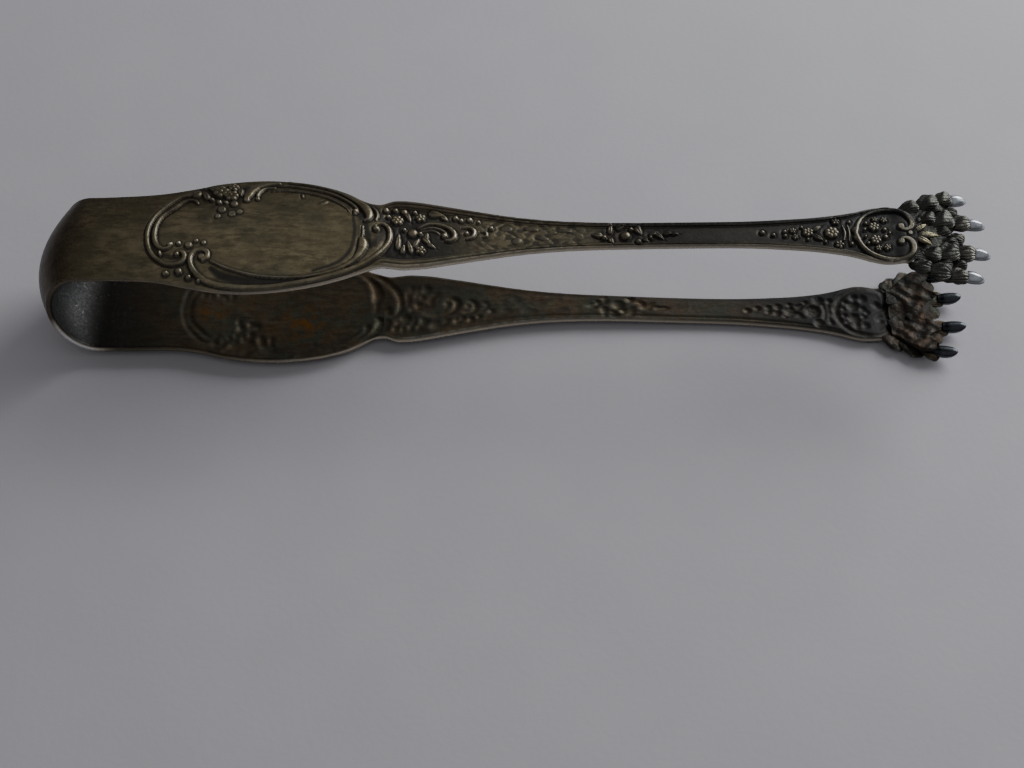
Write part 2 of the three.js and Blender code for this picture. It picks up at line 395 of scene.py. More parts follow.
def oval_plate(r):
    """The frame round the plain oval: double scroll, bouquet, acanthus and the long lower scroll."""
    r.cord([(25, 7.6, .7), (23.4, 7.3), (22.2, 6.4), (21, 5.1), (20, 3.8), (19.3, 2.3), (18.9, .7),
            (18.9, -.9), (19.2, -2.6), (19.7, -3.9), (20.6, -5.1), (21.9, -6.1), (23.3, -6.5),
            (24.6, -6.2, 1.2), (25.1, -5.3, 1.2), (24.8, -4.4), (24.1, -4.1, .8), (23.7, -4.5, .7)], 0.38)
    r.pearl(23.85, -4.7, 0.42)
    r.cord([(26.1, 5.6, .6), (25.5, 6.3, .7), (24.6, 6.4, .7), (23.6, 5.8, .8), (22.6, 4.8), (21.5, 3.8),
            (20.6, 2.7), (20.1, 1.3), (19.95, -.2, 1.1), (20.1, -1.6, 1.1), (20.5, -2.6, 1.1),
            (21.2, -3.3), (22, -3.5, .8), (22.6, -3.1, .7), (22.8, -2.6, .7)], 0.38)
    r.drop(21.2, -4.3, 0.6, 0.28, 100)
    r.pearl(22.5, -2.8, 0.36)
    # bouquet at the far edge
    r.drop(25.7, 7.7, 0.95, 0.75, 60)
    r.leaf(27.1, 7.5, 1.1, 0.5, 115)
    r.leaf(28.0, 8.9, 0.9, 0.45, 150)
    r.flower(29.5, 8.1, 1.35, 6, 20, 0.6)
    r.flower(31.2, 7.2, 1.2, 6, 0, 0.55)
    r.flower(31.3, 9.2, 0.95, 5, 10, 0.5)
    r.leaf(32.6, 7.9, 0.9, 0.5, -80)
    r.pearls([
        (29.4, 5.7, .45), (31.8, 5.3, .6), (30, 4.1, .65), (31.7, 3.2, .6), (32.8, 3.6, .5),
        (29.5, 2.7, .45), (28.2, 6.3, .4), (30.5, 5.6, .35),
    ])
    for x, y, length, width, angle in (
        (27.6, 2.1, 1.2, .7, -25), (30.2, 1.9, 1.1, .5, 10), (32.3, 2.1, 1, .45, 35),
    ):
        r.drop(x, y, length, width, angle, height=0.1, moat=0.03)
    # acanthus
    r.cord([(33.6, 6.4, .9), (33.9, 7.3, 1.5), (34.5, 8.3, 1.4), (35.5, 9.2, 1), (36.9, 9.8, .7),
            (38.6, 10.1, .5)], 0.45)
    r.cord([(35.4, 6.5, .6), (35.4, 7.4, 1), (35.8, 8.2, 1), (36.6, 8.8, .6), (38, 9, .4)], 0.34)
    r.pearl(33.7, 6.2, 0.5)
    r.pearl(35.4, 6.4, 0.36)
    # lines along the far edge, which end in curls
    r.cord([(38.4, 9.5, .5), (41, 9.4, .8), (44, 8.85, .9), (46.5, 8.1), (48.5, 7.1), (50, 6), (50.9, 5),
            (51.2, 4.2), (50.8, 3.7)], 0.28, 0.3)
    r.cord([(40, 10.4, .5), (44, 9.7, .6), (47.6, 8.5, .8), (50, 7.1, 1.1), (51.6, 5.9, 1.6),
            (52.6, 4.7, 2), (53.1, 3.5, 1.8), (53, 2.6, 1.2), (52.5, 2.2, .8)], 0.36, 0.42)
    r.cord([(36.8, 8.1, .4), (40, 8.4, .7), (43, 8, .8), (46, 7.1, .8), (48, 6, .8), (49.4, 4.9, .7),
            (49.9, 4.1, .6)], 0.22, 0.22)
    r.cord([(53.6, 5.2, .6), (54.2, 4.3), (54.4, 3.3), (54.2, 2.4, .7)], 0.26, 0.3)
    r.pearl(50.9, 4.2, 0.42)
    r.cord([(52.2, 1.1, .7), (52.3, -.2), (52.2, -1.5, .7)], 0.2, 0.28)
    r.drop(42.4, 7.3, 0.5, 0.28, 100, height=0.14)
    r.drop(45.8, 5.8, 0.9, 0.4, 35, height=0.12, moat=0.03)
    # the lobe and the inner line that runs back from it along the near edge
    r.cord([(52.2, -1.6, 1.3), (52.4, -2.6, 1.9), (52.1, -3.9, 1.6), (51.3, -5.3, 1.1), (50, -6.5, .9),
            (48.4, -7.4, .8), (46.5, -8.1, .7), (44, -8.7, .6), (41, -9, .6), (38, -8.95, .6),
            (35.5, -8.6, .6), (33, -7.9, .6), (31, -7.1, .6), (29.2, -6.1, .5)], 0.4, 0.4)
    # the long lower scroll
    r.cord([(28, -5.9, .8), (28.6, -5.3, .9), (28.5, -4.4), (27.8, -3.9), (26.9, -4), (26.2, -4.7),
            (26, -5.8), (26.4, -7.2, 1.1), (27.4, -8.6, 1.2), (28.9, -9.7, 1.2), (31, -10.4, 1.2),
            (34, -10.8, 1.1), (38, -10.7), (42, -10), (46, -9), (50, -7.5), (53, -5.8), (55, -4),
            (56.2, -2.1), (56.5, -.5), (56.2, .9, .9), (55.4, 1.7, .8), (54.5, 1.5, .7), (54, .9, .6)],
            0.42, 0.46)
    r.pearl(27.75, -5.3, 0.58, 0.55)
    r.pearl(54.3, 0.6, 0.55)
    r.pearls([
        (22.4, -8, .5), (24.4, -7.8, .6), (26, -8.9, .5), (27.6, -9.6, .35), (23.9, -2.6, .4),
        (25.5, -3, .6), (26.6, -2.2, .36), (27.8, -2.6, .4),
    ])
    r.drop(24.5, -1.2, 1.4, 0.5, -12, height=0.1, moat=0.03)
    # dirt between the lines, in the bouquet and round the notch
    r.dirt([(29.4, -7.4, .6), (31, -8.6, 1), (34, -9.5, 1.2), (38, -9.7, 1.1), (42, -9.3), (46, -8.5),
            (49.5, -7), (51.5, -5.8, .8)], 0.8, 0.95)
    r.dirt([(24.8, 7, .8), (23, 6.6, .6), (21.4, 4.6, .6), (20, 2.6, .5), (19.4, 0, .5), (19.8, -2.6, .6),
            (21, -4.4, .9), (22.6, -5, 1.1), (24, -5.4)], 0.5, 0.85)
    r.dirt([(26.5, 8.6), (28.5, 7.2, 1.3), (30.5, 7.6, 1.6), (32.6, 7.2, 1.4), (33.6, 8.6)], 1.15, 0.9)
    r.dirt([(28.8, 4.6, .8), (31, 4, 1), (32.4, 4.6, .8)], 0.9, 0.6)
    r.dirt([(35.2, 7.4, .6), (37.5, 9.2), (41, 9.3, .8), (45, 8.6, .8), (48.4, 6.8, 1.1),
            (50.6, 5.4, 1.4), (51.6, 3.6, 1.5), (52.8, 1.2), (53.2, -1, 1), (53.6, -3, .8)], 0.5, 0.9)
    r.dirt([(50.6, 3.2, .7), (51, 0, .8), (50.6, -3.4, .9), (48.6, -6, .9), (45, -7.6, .6)], 0.4, 0.9)
    r.dirt([(53.4, 6), (55, 3.2), (55.4, 0), (54.2, -2.2)], 0.8, 0.9)


def leaf_islands(x, y):
    """Leaves rubbed almost flat, from 0 in the dirt between them to 1 on them."""
    large = np.sin(2.3 * x + 1.4 * np.sin(1.9 * y + 0.5 * x))
    large = large * np.sin(2.7 * y + 1.2 * np.sin(1.3 * x + 2) + 0.8)
    small = np.sin(4.1 * x + 2 * np.sin(2.3 * y)) * np.sin(4.3 * y + 1.3)
    return smoothstep(-0.6, 0.45, large + 0.25 * small)


def stem(r):
    """Bouquet, comet scrolls and worn leaves, then the bellflowers half way along."""
    r.pearls([
        (55.7, 4.6, .5), (57.1, 4.7, .5), (58.5, 4.4, .55), (56.1, 3.3, .4), (60.2, 4.3, .4), (60, 0, .8),
        (66.6, 3.3, .5), (67.5, 2.8, .4), (68.8, 3, .5), (70.2, 2.5, .35), (61.2, -.1, .35),
        (58.7, 0.6, .35), (64.9, -.4, .5), (68.4, .2, .36), (72.2, 1.3, .4),
    ])
    r.flower(57.5, 2.6, 1.0, 6, 10)
    r.flower(61.1, 3.2, 0.85, 5, 30)
    r.flower(61.3, -3.3, 0.85, 5, 0)
    r.leaves([
        (59.2, 3.3, 1, .4, -65), (63.6, 4, 1.4, .6, -10), (64.9, 3.2, .7, .4, -40),
        (57.8, -1.6, 1.7, .42, 88), (58.6, -3.1, .9, .35, 80), (59.6, -2.6, 1.3, .38, 105),
        (60.6, -1.9, 1, .36, 60), (62.3, -1.6, 1.1, .42, -50), (62.2, -.5, .7, .35, 80),
        (63, -2.4, .8, .3, -30),
    ])
    r.cord([(60.8, 1.1, .4), (62.5, 1.9, .7), (64.2, 1.8, .9), (65.6, 1.2), (66.4, .3, 1.2),
            (66.5, -.7, 1.3), (65.9, -1.3), (65.2, -1.3, .6)], 0.34, 0.5)
    r.cord([(61.2, .8, .4), (62.8, 1.2, .8), (64.2, .9, .9), (65.1, .2, .9), (65.4, -.5, .6)], 0.22, 0.34)
    r.cord([(61.5, .4, .4), (62.8, .65, .8), (63.8, .3, .8), (64.2, -.2, .5)], 0.18, 0.28)
    r.cord([(67.8, 1.4, .6), (69, 1.3, 1), (69.6, .5, 1.2), (69.3, -.5, 1), (68.4, -.9, .5)], 0.3, 0.45)
    r.cord([(70.6, .7, .5), (71.4, .5), (71.5, -.2), (70.9, -.4, .6)], 0.22, 0.32)
    rubbed = smoothstep(64, 73, r.x) * (1 - smoothstep(86, 89, r.x)) * (1 - np.clip(r.rise / 0.1, 0, 1))
    islands = leaf_islands(r.x, r.y)
    r.rise += 0.045 * rubbed * islands
    r.soot = np.maximum(r.soot, 0.8 * rubbed * (1 - islands))
    for x, y, length, width, angle in (
        (74.6, 1.3, .95, .6, 0), (76.2, -1.1, .8, .6, 20), (78.4, 1.3, 1.2, .45, -8),
        (83.6, .9, 1.3, .4, -5), (80.2, -.6, 1, .4, 170),
    ):
        r.drop(x, y, length, width, angle, height=0.16, moat=0.05)
    r.leaves([
        (88.7, 0, .85, .5, 175), (90.8, 1.2, 1, .42, 80), (92.4, 1.5, .8, .45, 20),
        (90.9, -1.2, .7, .4, -70), (95.2, .8, .9, .6, -60), (97.6, .2, .9, .36, 20),
        (98.4, -.3, .95, .4, -45), (99.8, .2, .8, .36, 5), (96.3, -1.1, .6, .4, -30),
        (100.9, .1, .6, .25, 0),
    ])
    for x, y, radius in (
        (89.8, -.6, .45), (93.1, -.2, .85), (95.1, -1.4, .55), (94, 1, .4), (97, -.7, .35),
    ):
        r.pearl(x, y, radius, 0.6)


def heart(r):
    """Beads that grow towards a rosette, and the heart with its flowers."""
    for x, y, radius in (
        (114.4, .2, .45), (116.1, -.3, .4), (117.9, .35, .4), (117.9, -.5, .38), (121.4, -1.2, .3),
        (120.6, 1.2, .3), (124.1, -1.7, .3), (128.1, -2.1, .4), (128.1, 2.3, .4),
    ):
        r.pearl(x, y, radius, 0.25 + radius * 0.45)
    r.flower(119.2, .55, .62, 5, 10, 0.42)
    r.flower(119.5, -.7, .55, 5, 40, 0.4)
    r.flower(121.5, .2, .95, 6, 25, 0.52)
    r.leaf(123, 1, .85, .42, 35)
    r.leaf(123.1, -.9, .85, .42, -35)
    r.flower(125.2, .1, 1.2, 7, 0, 0.58)
    r.flower(126, 2.4, .75, 5, 20)
    r.flower(126.2, -2.2, .8, 5, 0)
    r.cord([(127, 1.5, .6), (127.25, 0), (127, -1.4, .6)], 0.22, 0.42)
    r.cord([(127.8, 1.7, .6), (127.95, 0.1), (127.8, -1.6, .6)], 0.2, 0.36)
    r.drop(129, .8, .8, .55, 40, 0.45)
    r.drop(129.1, -1, .8, .55, -40, 0.45)
    for side, low in ((1, 0), (-1, 0.3)):
        curl = [(138, 2.3, 1.2), (137.7, 1.2, 1), (136.9, .7, .8), (136.3, .8, .7)]
        r.cord([(129, .2 * side), (129.4, 1.7 * side), (130.2, 3.1 * side), (131.4, 4.1 * side),
                (133, 4.75 * side), (134.8, 4.95 * side), (136.4, 4.6 * side - low / 3, 1.1),
                (137.5 - low / 3, 3.5 * side - low, 1.2),
                *((x - low, y * side - low, share) for x, y, share in curl)], 0.42, 0.48)
        r.pearl(136.1 - low, 1.35 * side - low, 0.6)
        r.flower(131.9, 1.3 * side, .95, 6, 15 * side, 0.6)
        r.flower(133.6, 2.75 * side, .65, 5, 40)
        r.flower(132.2, 2.9 * side, .6, 5, 10)
        r.pearl(133.5, .75 * side, .42)
        r.pearl(130.7, 2 * side, .35)
        r.pearl(130.4, .7 * side, .3)
    r.pearl(137.4, 0, 0.42)
    r.pearl(134.2, 0, 0.3)


# ---- how the strip changes along its length ------------------------------
rim_width = curve_through(
    [NOTCH_X, 62, 74, 88, 112, 122, 128, 133, 137],
    [1.5, 1.5, 1.25, 1.0, 0.95, 0.9, 0.8, 0.5, 0.3],
)
FIELD_DEPTH = 0.22
# How dark the stem's sunk field is: clean among the worn leaves, dirty among the beads and in the heart
field_tone = curve_through(
    [54, 62, 68, 74, 86, 90, 100, 104, 113, 126, 130, 138],
    [1, .95, .7, .2, .2, .8, .85, .7, .85, 1, 1, 1],
)
# How much the strip's rounded edge is rubbed bright, partly real wear and partly a painted highlight
rim_wear_and_highlight = curve_through([9, 22, 30, 40, 50, 58, 80, 137], [0.12, 0.2, 0.35, 0.7, 0.9, 1.0, 0.8, 0.6])
# How blue-grey the bow's inner face is
bowl_tint = curve_through([3, 8, 14, 20, 26], [1, 0.85, 0.5, 0.15, 0])
# How dark the outer and the inner face have turned, with painted shade darkening both towards the bow's crown
outer_age_and_shade = curve_through(
    [0, 6, 14, 24, 32, 84, 92, 104, 113, 122, 138],
    [0.95, 0.85, 0.45, 0.15, 0, 0, 0.35, 0.7, 0.4, 0.4, 0.45],
)
inner_age_and_shade = curve_through(
    [0, 6, 14, 24, 32, 84, 110, 122, 138],
    [0.95, 0.85, 0.45, 0.15, 0, 0, 0.15, 0.8, 0.95],
)


def glint(x, side):
    """A painted glint along a stretch of edge beside the bow. side is 1 on that edge of either arm and -1 on
    the other.
    """
    return 2.5 * np.exp(-(((x - 6) / 3.5) ** 2)) * smoothstep(0, 0.8, side)


def edge_wear_and_highlight(out):
    """Where the edge's wear and painted highlight lie, from 1 along its middle line to 0 on the faces."""
    return smoothstep(0.97, 0.5, abs(out))


def rim_share(x, y):
    """How far inwards a place lies, from 0 at the strip's edge to 1 where the stem's sunk field begins."""
    return (half_width(x, y) - abs(y)) / rim_width(x)


def bead_wear_and_highlight(x, y):
    """Light wear along the stem's outermost bead, brightened further as a painted highlight."""
    along = smoothstep(NOTCH_X, NOTCH_X + 2, x) * (1 - smoothstep(96, 116, x))
    return 0.75 * smoothstep(0.45, 0.3, rim_share(x, y)) * along


def field_dirt(x, y):
    """Dirt in the stem's sunk field and in the two lines of its rim."""
    inward = rim_share(x, y)
    lines = np.exp(-(((inward - 0.5) / 0.08) ** 2)) + np.exp(-(((inward - 0.97) / 0.09) ** 2))
    on_stem = smoothstep(NOTCH_X, NOTCH_X + 1.5, x)
    return np.maximum(field_tone(x) * smoothstep(0.95, 1.2, inward), 0.9 * lines * (x < 134)) * on_stem


def rim_lines(x, y):
    """The stem's stepped rim: a broad bead at the edge, a second bead inside it, then the sunk field."""
    shares = [0, 0.18, 0.42, 0.50, 0.58, 0.74, 0.88, 0.97, 1.06, 1.2]
    heights = [0.1, 0.2, 0.16, -0.08, 0.1, 0.15, 0.08, -0.12, -0.06, -FIELD_DEPTH]
    stepped = np.interp(rim_share(x, y), shares, heights)
    starts = smoothstep(NOTCH_X - 0.3, NOTCH_X + 1.5, x)
    ends = 1 - smoothstep(134.5, 136.5, x)
    return stepped * starts * ends


def end_taper(x):
    """Rounds the corners of the strip where the heart ends on the paw."""
    past = np.clip((x - HEART_ROUND) / (HEART_END - HEART_ROUND), 0, 0.985)
    return np.sqrt(1 - past**2)


# ---- the strip's pieces ------------------------------
EDGE_STEPS = 9
BOW_COLUMNS = 61
BOW_ROWS = 181
CROWN_DENT = 0.4  # the old bow's crown stands this much short of the CAD crown
CROWN_SKEW = 0.4  # and its far edge this much further in, its near edge this much further out
AMBER = ((26, 1.6, 2.0), (41.8, 3.2, 3.0))  # rusty patches inside the plate: x, y and reach
REVERSE_SOFTEN = 0.14  # how much wider the struck forms are on the inner face
REVERSE_SHARE = 0.6  # and how much lower and cleaner
# Passes of softening, along and across
CROWD_BLUR = (22, 18)
REVERSE_BLUR = (10, 5)
DIRT_BLUR = (6, 4)
GROUND_BLUR = (7, 6)


def ring_columns(outer, inner):
    """Columns round the strip: share across, how far past the faces, and out, 1 outside and -1 inside."""
    arc = np.linspace(0, math.pi, EDGE_STEPS + 2)[1:-1]
    near = np.full(EDGE_STEPS, -1.0)
    share = np.concatenate((np.linspace(1, -1, outer), near, np.linspace(-1, 1, inner), -near))
    past = np.concatenate((np.zeros(outer), -np.sin(arc), np.zeros(inner), np.sin(arc)))
    out = np.concatenate((np.ones(outer), np.cos(arc), -np.ones(inner), -np.cos(arc)))
    return share, past, out


def struck_face(x, y, ornament, slide, soften):
    """One face's height, the dirt on it, and the dirt that its ornament was drawn with."""
    worked = Relief(x - slide(x), y, soften)
    ornament(worked)
    height = worked.height() + rim_lines(x, y)
    crowd = blurred(np.clip(worked.rise / 0.2, 0, 1), *CROWD_BLUR)
    ground = 1 - np.clip(worked.rise / 0.4, 0, 1) ** 2
    soot = np.maximum(np.clip(1.8 * crowd - 0.05, 0, 0.85), worked.soot)
    return height, np.maximum(soot, field_dirt(x, y)) * ground, worked.soot


def far_shade(x, y, out, width):
    """Painted shade on the far half of the plate's outer face, and along one edge of both faces of the stem.
    """
    plate = smoothstep(0, 7, y) * smoothstep(NOTCH_X, NOTCH_X - 3, x) * smoothstep(ARM_START, 16, x)
    edge = smoothstep(0.5, 0.8, y * np.sign(out) / width) * smoothstep(NOTCH_X - 1, NOTCH_X + 2, x)
    return 0.3 * plate * (out > 0) + 0.6 * edge


def strip_values(x, y, out, width, lift, dirt, soot):
    """The strip's VALUES. lift is how far a place stands out from the softened relief round it."""
    inside = (out < -0.5) * 1.0
    gilt = inside * np.exp(-(((x - NOTCH_X) / 3) ** 2))
    leaves = (1 - inside) * np.exp(-(((x - LEAVES_X) / 10) ** 4))
    polish = 1 + 1.2 * gilt + 1.2 * leaves
    # worn also carries the painted highlight on the stem's outer bead
    worn = np.maximum(polish * lift / 0.24 * (1 - 0.5 * soot), bead_wear_and_highlight(x, y))
    stain_and_shade = np.where(inside > 0, inner_age_and_shade(x), outer_age_and_shade(x)) + far_shade(x, y, out, width)
    return {
        "hollow_and_shade": np.clip(np.maximum(-lift / 0.16, dirt), 0, 1),
        "worn": np.clip(worn, 0, 1) * (abs(out) > 0.9),
        # rim: the rubbed edge with its painted highlight, and the painted glint beside the bow
        "rim": np.maximum(rim_wear_and_highlight(x), glint(x, np.sign(y))) * edge_wear_and_highlight(out),
        "inside": inside,
        "stain_and_shade": np.clip(stain_and_shade, 0, 1),
        "amber": inside * sum(np.exp(-np.hypot(x - a, y - b) ** 2 / c**2) for a, b, c in AMBER),
        "gilt": gilt,
        "bowl": inside * bowl_tint(x),
    }


def strip_rings(start, end, step, outer, ornament, slide):
    """Rings of the strip from start to end with struck relief outside and its softened reverse inside."""
    share, past, out = ring_columns(outer, outer // 2)
    xs = np.linspace(start, end, int((end - start) / step) + 1)
    x = np.broadcast_to(xs[:, None], (len(xs), len(share)))
    width = half_width(x, share * np.ones_like(x)) * end_taper(x)
    y = share * (width - EDGE_ROUND) + past * EDGE_ROUND
    relief, reverse, dirt, soot = (np.zeros_like(y) for _ in range(4))
    back = out < 1
    for columns, height, soften in ((out > -1, relief, 0.0), (back, reverse, REVERSE_SOFTEN)):
        struck = struck_face(x[:, columns], y[:, columns], ornament, slide, soften)
        height[:, columns], dirt[:, columns], soot[:, columns] = struck
    reverse[:, back] = REVERSE_SHARE * blurred(reverse[:, back], *REVERSE_BLUR)
    dirt[:, back] = REVERSE_SHARE * blurred(dirt[:, back], *DIRT_BLUR)
    outwards = (1 + out) / 2 * (STRIP / 2 + relief) - (1 - out) / 2 * (STRIP / 2 - reverse)
    z = below_rest(strip_middle(x, share * (width - EDGE_ROUND)) + outwards)
    shown = np.where(out > 0, relief, reverse)
    lift = (shown - blurred(shown, *GROUND_BLUR)) * np.where(out > 0, 1, 0.5)
    return np.stack((x, y, z), -1), strip_values(x, y, out, width, lift, dirt, soot)


def bow_rings():
    """The half turn of strip that joins the arms, domed outwards most of all at its crown."""
    share, past, out = ring_columns(BOW_COLUMNS, BOW_COLUMNS)
    width = half_width(ARM_START, share)
    edge = BOW_POINTS[:, 1].max()
    crown_edge = BOW_POINTS[BOW_POINTS[:, 1] > edge - SAME][:, 0].min() + STRIP / 2
    crown_middle = BOW_POINTS[:, 0].min() + STRIP / 2
    turn = np.linspace(-math.pi / 2, math.pi / 2, BOW_ROWS)[:, None]
    bulge = 1 - (share * (width - EDGE_ROUND) / width) ** 2
    reach_x = ARM_START - crown_edge + (crown_edge - crown_middle) * bulge + out * STRIP / 2 - CROWN_DENT
    reach_z = edge_height(ARM_START) + dome_height(ARM_START) * bulge + out * STRIP / 2
    x = ARM_START + (CROWN_SKEW * share - reach_x) * np.cos(turn)
    y = np.broadcast_to(share * (width - EDGE_ROUND) + past * EDGE_ROUND, x.shape)
    z = reach_z * np.sin(turn)
    inside = out < -0.5
    values = {
        # rim: the rubbed edge with its painted highlight, and the painted glint beside the bow
        "rim": np.maximum(rim_wear_and_highlight(ARM_START), glint(x, np.sign(y) * z / 4)) * edge_wear_and_highlight(out),
        "inside": inside,
        "stain_and_shade": outer_age_and_shade(x),
        "bowl": bowl_tint(x) * inside,
    }
    return np.stack((x, y, z), -1), values


# ---- the paw ------------------------------
PAW_OUTSIDE = 0.15  # the furred plate's faces, from the paw's middle surface
PAW_INSIDE = -0.8
PAW_ARCH = 0.008
PAW_MIDDLE = curve_through([136, 141, 145, 148], [10.1, 9.7, 9.25, 8.9])
PAW_START = 137.7
PAW_END = 143.2
TOE_LINES = ((3.2, 2.6), (7.0, 1.6))  # where the plate's tongues lie across, and how far they reach
PAW_CELLS = (110, 90, 110)  # along, across outside and across inside
TUFT_CELLS = (40, 152)  # along and round
PETAL_CELLS = (36, 48)
TALON_CELLS = (56, 56)
# Tufts of each toe: x, y, half length, half width and turn in degrees
TOES = [
    [(137.7, 5.6, 1.85, 1.75, 32), (140.6, 6.6, 2.2, 2.0, 18), (143.2, 7.55, 1.9, 1.75, 11)],
    [(140.1, 3.5, 1.8, 1.8, 14), (142.5, 3.0, 2.2, 2.25, 6), (145.2, 2.7, 2.0, 1.95, 2)],
    [(140.1, -3.6, 1.8, 1.8, -14), (142.5, -3.3, 2.2, 2.25, -5), (145.2, -3.05, 2.0, 1.95, -2)],
    [(138.3, -5.9, 1.75, 1.75, -32), (140.7, -6.7, 2.2, 2.1, -16), (143.6, -7.4, 2.0, 1.85, -6)],
]
# Lower tufts between the toes
FILLERS = [
    (138.6, 2.6, 1.5, 1.3, 30), (141.6, 5.2, 1.9, 1.3, 12), (144.1, 5.3, 1.6, 1.2, 4),
    (142.2, 0.9, 1.9, 1.5, 6), (143.0, -1.1, 2.0, 1.5, -6), (144.3, -0.1, 1.7, 1.5, 0),
    (141.6, -5.2, 1.9, 1.3, -12), (144.1, -5.3, 1.6, 1.2, -4), (138.6, -2.6, 1.5, 1.3, -30),
]
# Leaves over the root of the paw: x, y, length, half width and turn in degrees
TREFOIL = [(137.9, 0.35, 2.7, 0.62, 32), (138.3, -0.1, 3.5, 0.68, -6), (138.1, -0.5, 3.0, 0.62, -36)]
TREFOIL_HEIGHT = 10.35
TREFOIL_RISE = 0.25
FILLER_DROP = 0.45
TUFT_HEIGHT = 1.15
TUFT_TILT = 0.45
TUFT_LOCKS = 17
TALON_START = 1.05
TALON_LENGTH = 3.8
TALON_RADIUS = 1.05
TALON_CURL = 0.08
TALON_LIFT = 0.15


def paw_height(x, y):
    return PAW_MIDDLE(x) - PAW_ARCH * y**2


def grid_over(cells, margin):
    """Shares along a small body and angles round it. A margin keeps its end rings from closing to a point."""
    along = np.linspace(margin, 1 - margin, cells[0])[:, None]
    around = np.linspace(0, 2 * math.pi, cells[1], endpoint=False)[None, :]
    return along, around


def body_rings(x, y, turn, reach, side, height, values):
    """Rings of a small body, laid at x, y and turned by turn degrees, with its values."""
    ahead, aside = turned(reach, side, turn)
    rings = np.stack(np.broadcast_arrays(x + ahead, y + aside, height), -1)
    spread = {key: np.broadcast_to(value, rings.shape[:2])[:, ::-1] for key, value in values.items()}
    return rings[:, ::-1], spread


def tuft_locks(along, around, seed, depth):
    """Locks cut lengthwise in a tuft, from 1 on a lock down to the bottom of the cut beside it."""
    wander = 0.22 * np.sin(2.6 * along + seed) * along + 0.1 * np.sin(2 * around + seed)
    wander = wander + 0.04 * np.sin(5 * around)
    strong = depth * (0.7 + 0.3 * np.sin(3 * around + 2.5 * along + 2 * seed))
    strand = (around + wander + seed) * TUFT_LOCKS / 2 + 0.5 * np.sin(7 * along + 4 * around + seed)
    above = smoothstep(-0.35, 0.1, np.sin(around))
    return 1 - strong * (1 - abs(np.cos(strand))) * (0.35 + 0.65 * above)


def tuft_rings(x, y, half_length, half_wide, turn, seed, drop=0.0):
    """A tuft of fur: narrow behind, blunt in front and cut lengthwise into locks with free tips."""
    along, around = grid_over(TUFT_CELLS, 0.001)
    depth = 0.75 + 0.25 * math.cos(2 * seed - 9.6)
    lock = tuft_locks(along, around, seed, depth)
    cut = smoothstep(0.05, 0.35, along)
    lumps = 0.13 * np.sin(3 * around + seed) * np.sin(6 * along + 2 * seed)
    lumps = lumps + 0.07 * np.sin(12 * along + 4 * around)
    body = 1.12 * along**0.55 * np.clip(1 - along**5, 0, 1) ** 0.5
    radius = body * (1 + lumps * cut - 0.15 * cut * (1 - lock**0.8))
    reach = half_length * (2 * along - 1 + 0.16 * (lock - 0.4) * smoothstep(0.7, 1, along))
    side = half_wide * radius * np.cos(around)
    under = 0.38 - 0.4 * drop
    flat = under + (1 - under) * smoothstep(-0.35, 0.1, np.sin(around))
    rise = TUFT_TILT * (along - 0.6) + TUFT_HEIGHT * radius * np.sin(around) * flat
    root = np.minimum(paw_height(x, y) + 0.3, REST_HEIGHT - TUFT_HEIGHT - 0.1)
    inside = np.sin(around) < -0.3
    # Painted light on the fur: a painted highlight on the front tufts, painted shade on the rear ones, at
    # each tuft's root and over the lower fillers
    shine = depth * (0.13 + 0.42 * smoothstep(143, 145, x)) * (1 - drop)
    values = {
        "hollow_and_shade": np.clip(1.1 * (1 - lock) * cut + 0.9 * (1 - smoothstep(0, 0.4, along)) + drop, 0, 1),
        "worn": shine * np.clip(1.6 * lock - 0.7, 0, 1) * smoothstep(0.45, 0.95, along) * ~inside,
        "inside": inside,
        "stain_and_shade": 0.5 * smoothstep(145, 140, x),
    }
    turn = turn + 12 * math.sin(5 * seed)
    return body_rings(x, y, turn, reach, side, below_rest(root - drop + rise), values)


def paw_rings():
    """The furred plate that the toes stand on, with a tongue under each toe and lumps inside."""
    share, past, out = ring_columns(*PAW_CELLS[1:])
    xs = np.linspace(PAW_START, PAW_END, PAW_CELLS[0])
    x = np.broadcast_to(xs[:, None], (len(xs), len(share)))
    half = 4.8 + 3.4 * smoothstep(PAW_START, PAW_START + 4.5, x)
    edge = (PAW_OUTSIDE - PAW_INSIDE) / 2
    y = share * (half - edge) + past * edge
    tongue = sum(reach * np.exp(-(((abs(y) - line) / 1.3) ** 2)) for line, reach in TOE_LINES)
    x = x + tongue * smoothstep(PAW_START + 2, PAW_END, x)
    strands = 0.12 * abs(np.sin(7 * y + 0.9 * np.sin(1.7 * x + y)))
    lumps = 0.14 * np.sin(1.9 * x + 1.3 * np.sin(0.9 * y)) * np.sin(1.7 * y + 0.9 * np.sin(1.1 * x))
    lumps = lumps + 0.03 * np.sin(3.3 * x + 2 * np.sin(1.7 * y)) * np.sin(2.9 * y + x)
    outside = smoothstep(-0.5, 0.5, out)
    inside = 1 - outside
    pit = np.exp(-np.hypot((x - 139.6) / 1.2, (y - 0.5) / 1.6) ** 2)
    middle = paw_height(x, y) + (PAW_OUTSIDE + PAW_INSIDE) / 2
    z = middle + out * edge + outside * strands + inside * (0.5 * pit - lumps)
    # Painted shade on the plate's outer face under the tufts and in the pit; the low places between the inner
    # lumps are darker
    hollow_and_shade = outside * (0.9 - 2 * strands) + inside * (0.2 - 1.2 * lumps + 0.7 * pit)
    values = {
        "hollow_and_shade": np.clip(hollow_and_shade, 0, 1),
        "inside": inside,
        "stain_and_shade": 0.65 * inside,
        "amber": 0.3 * inside,
    }
    return np.stack((x, y, below_rest(z)), -1), values


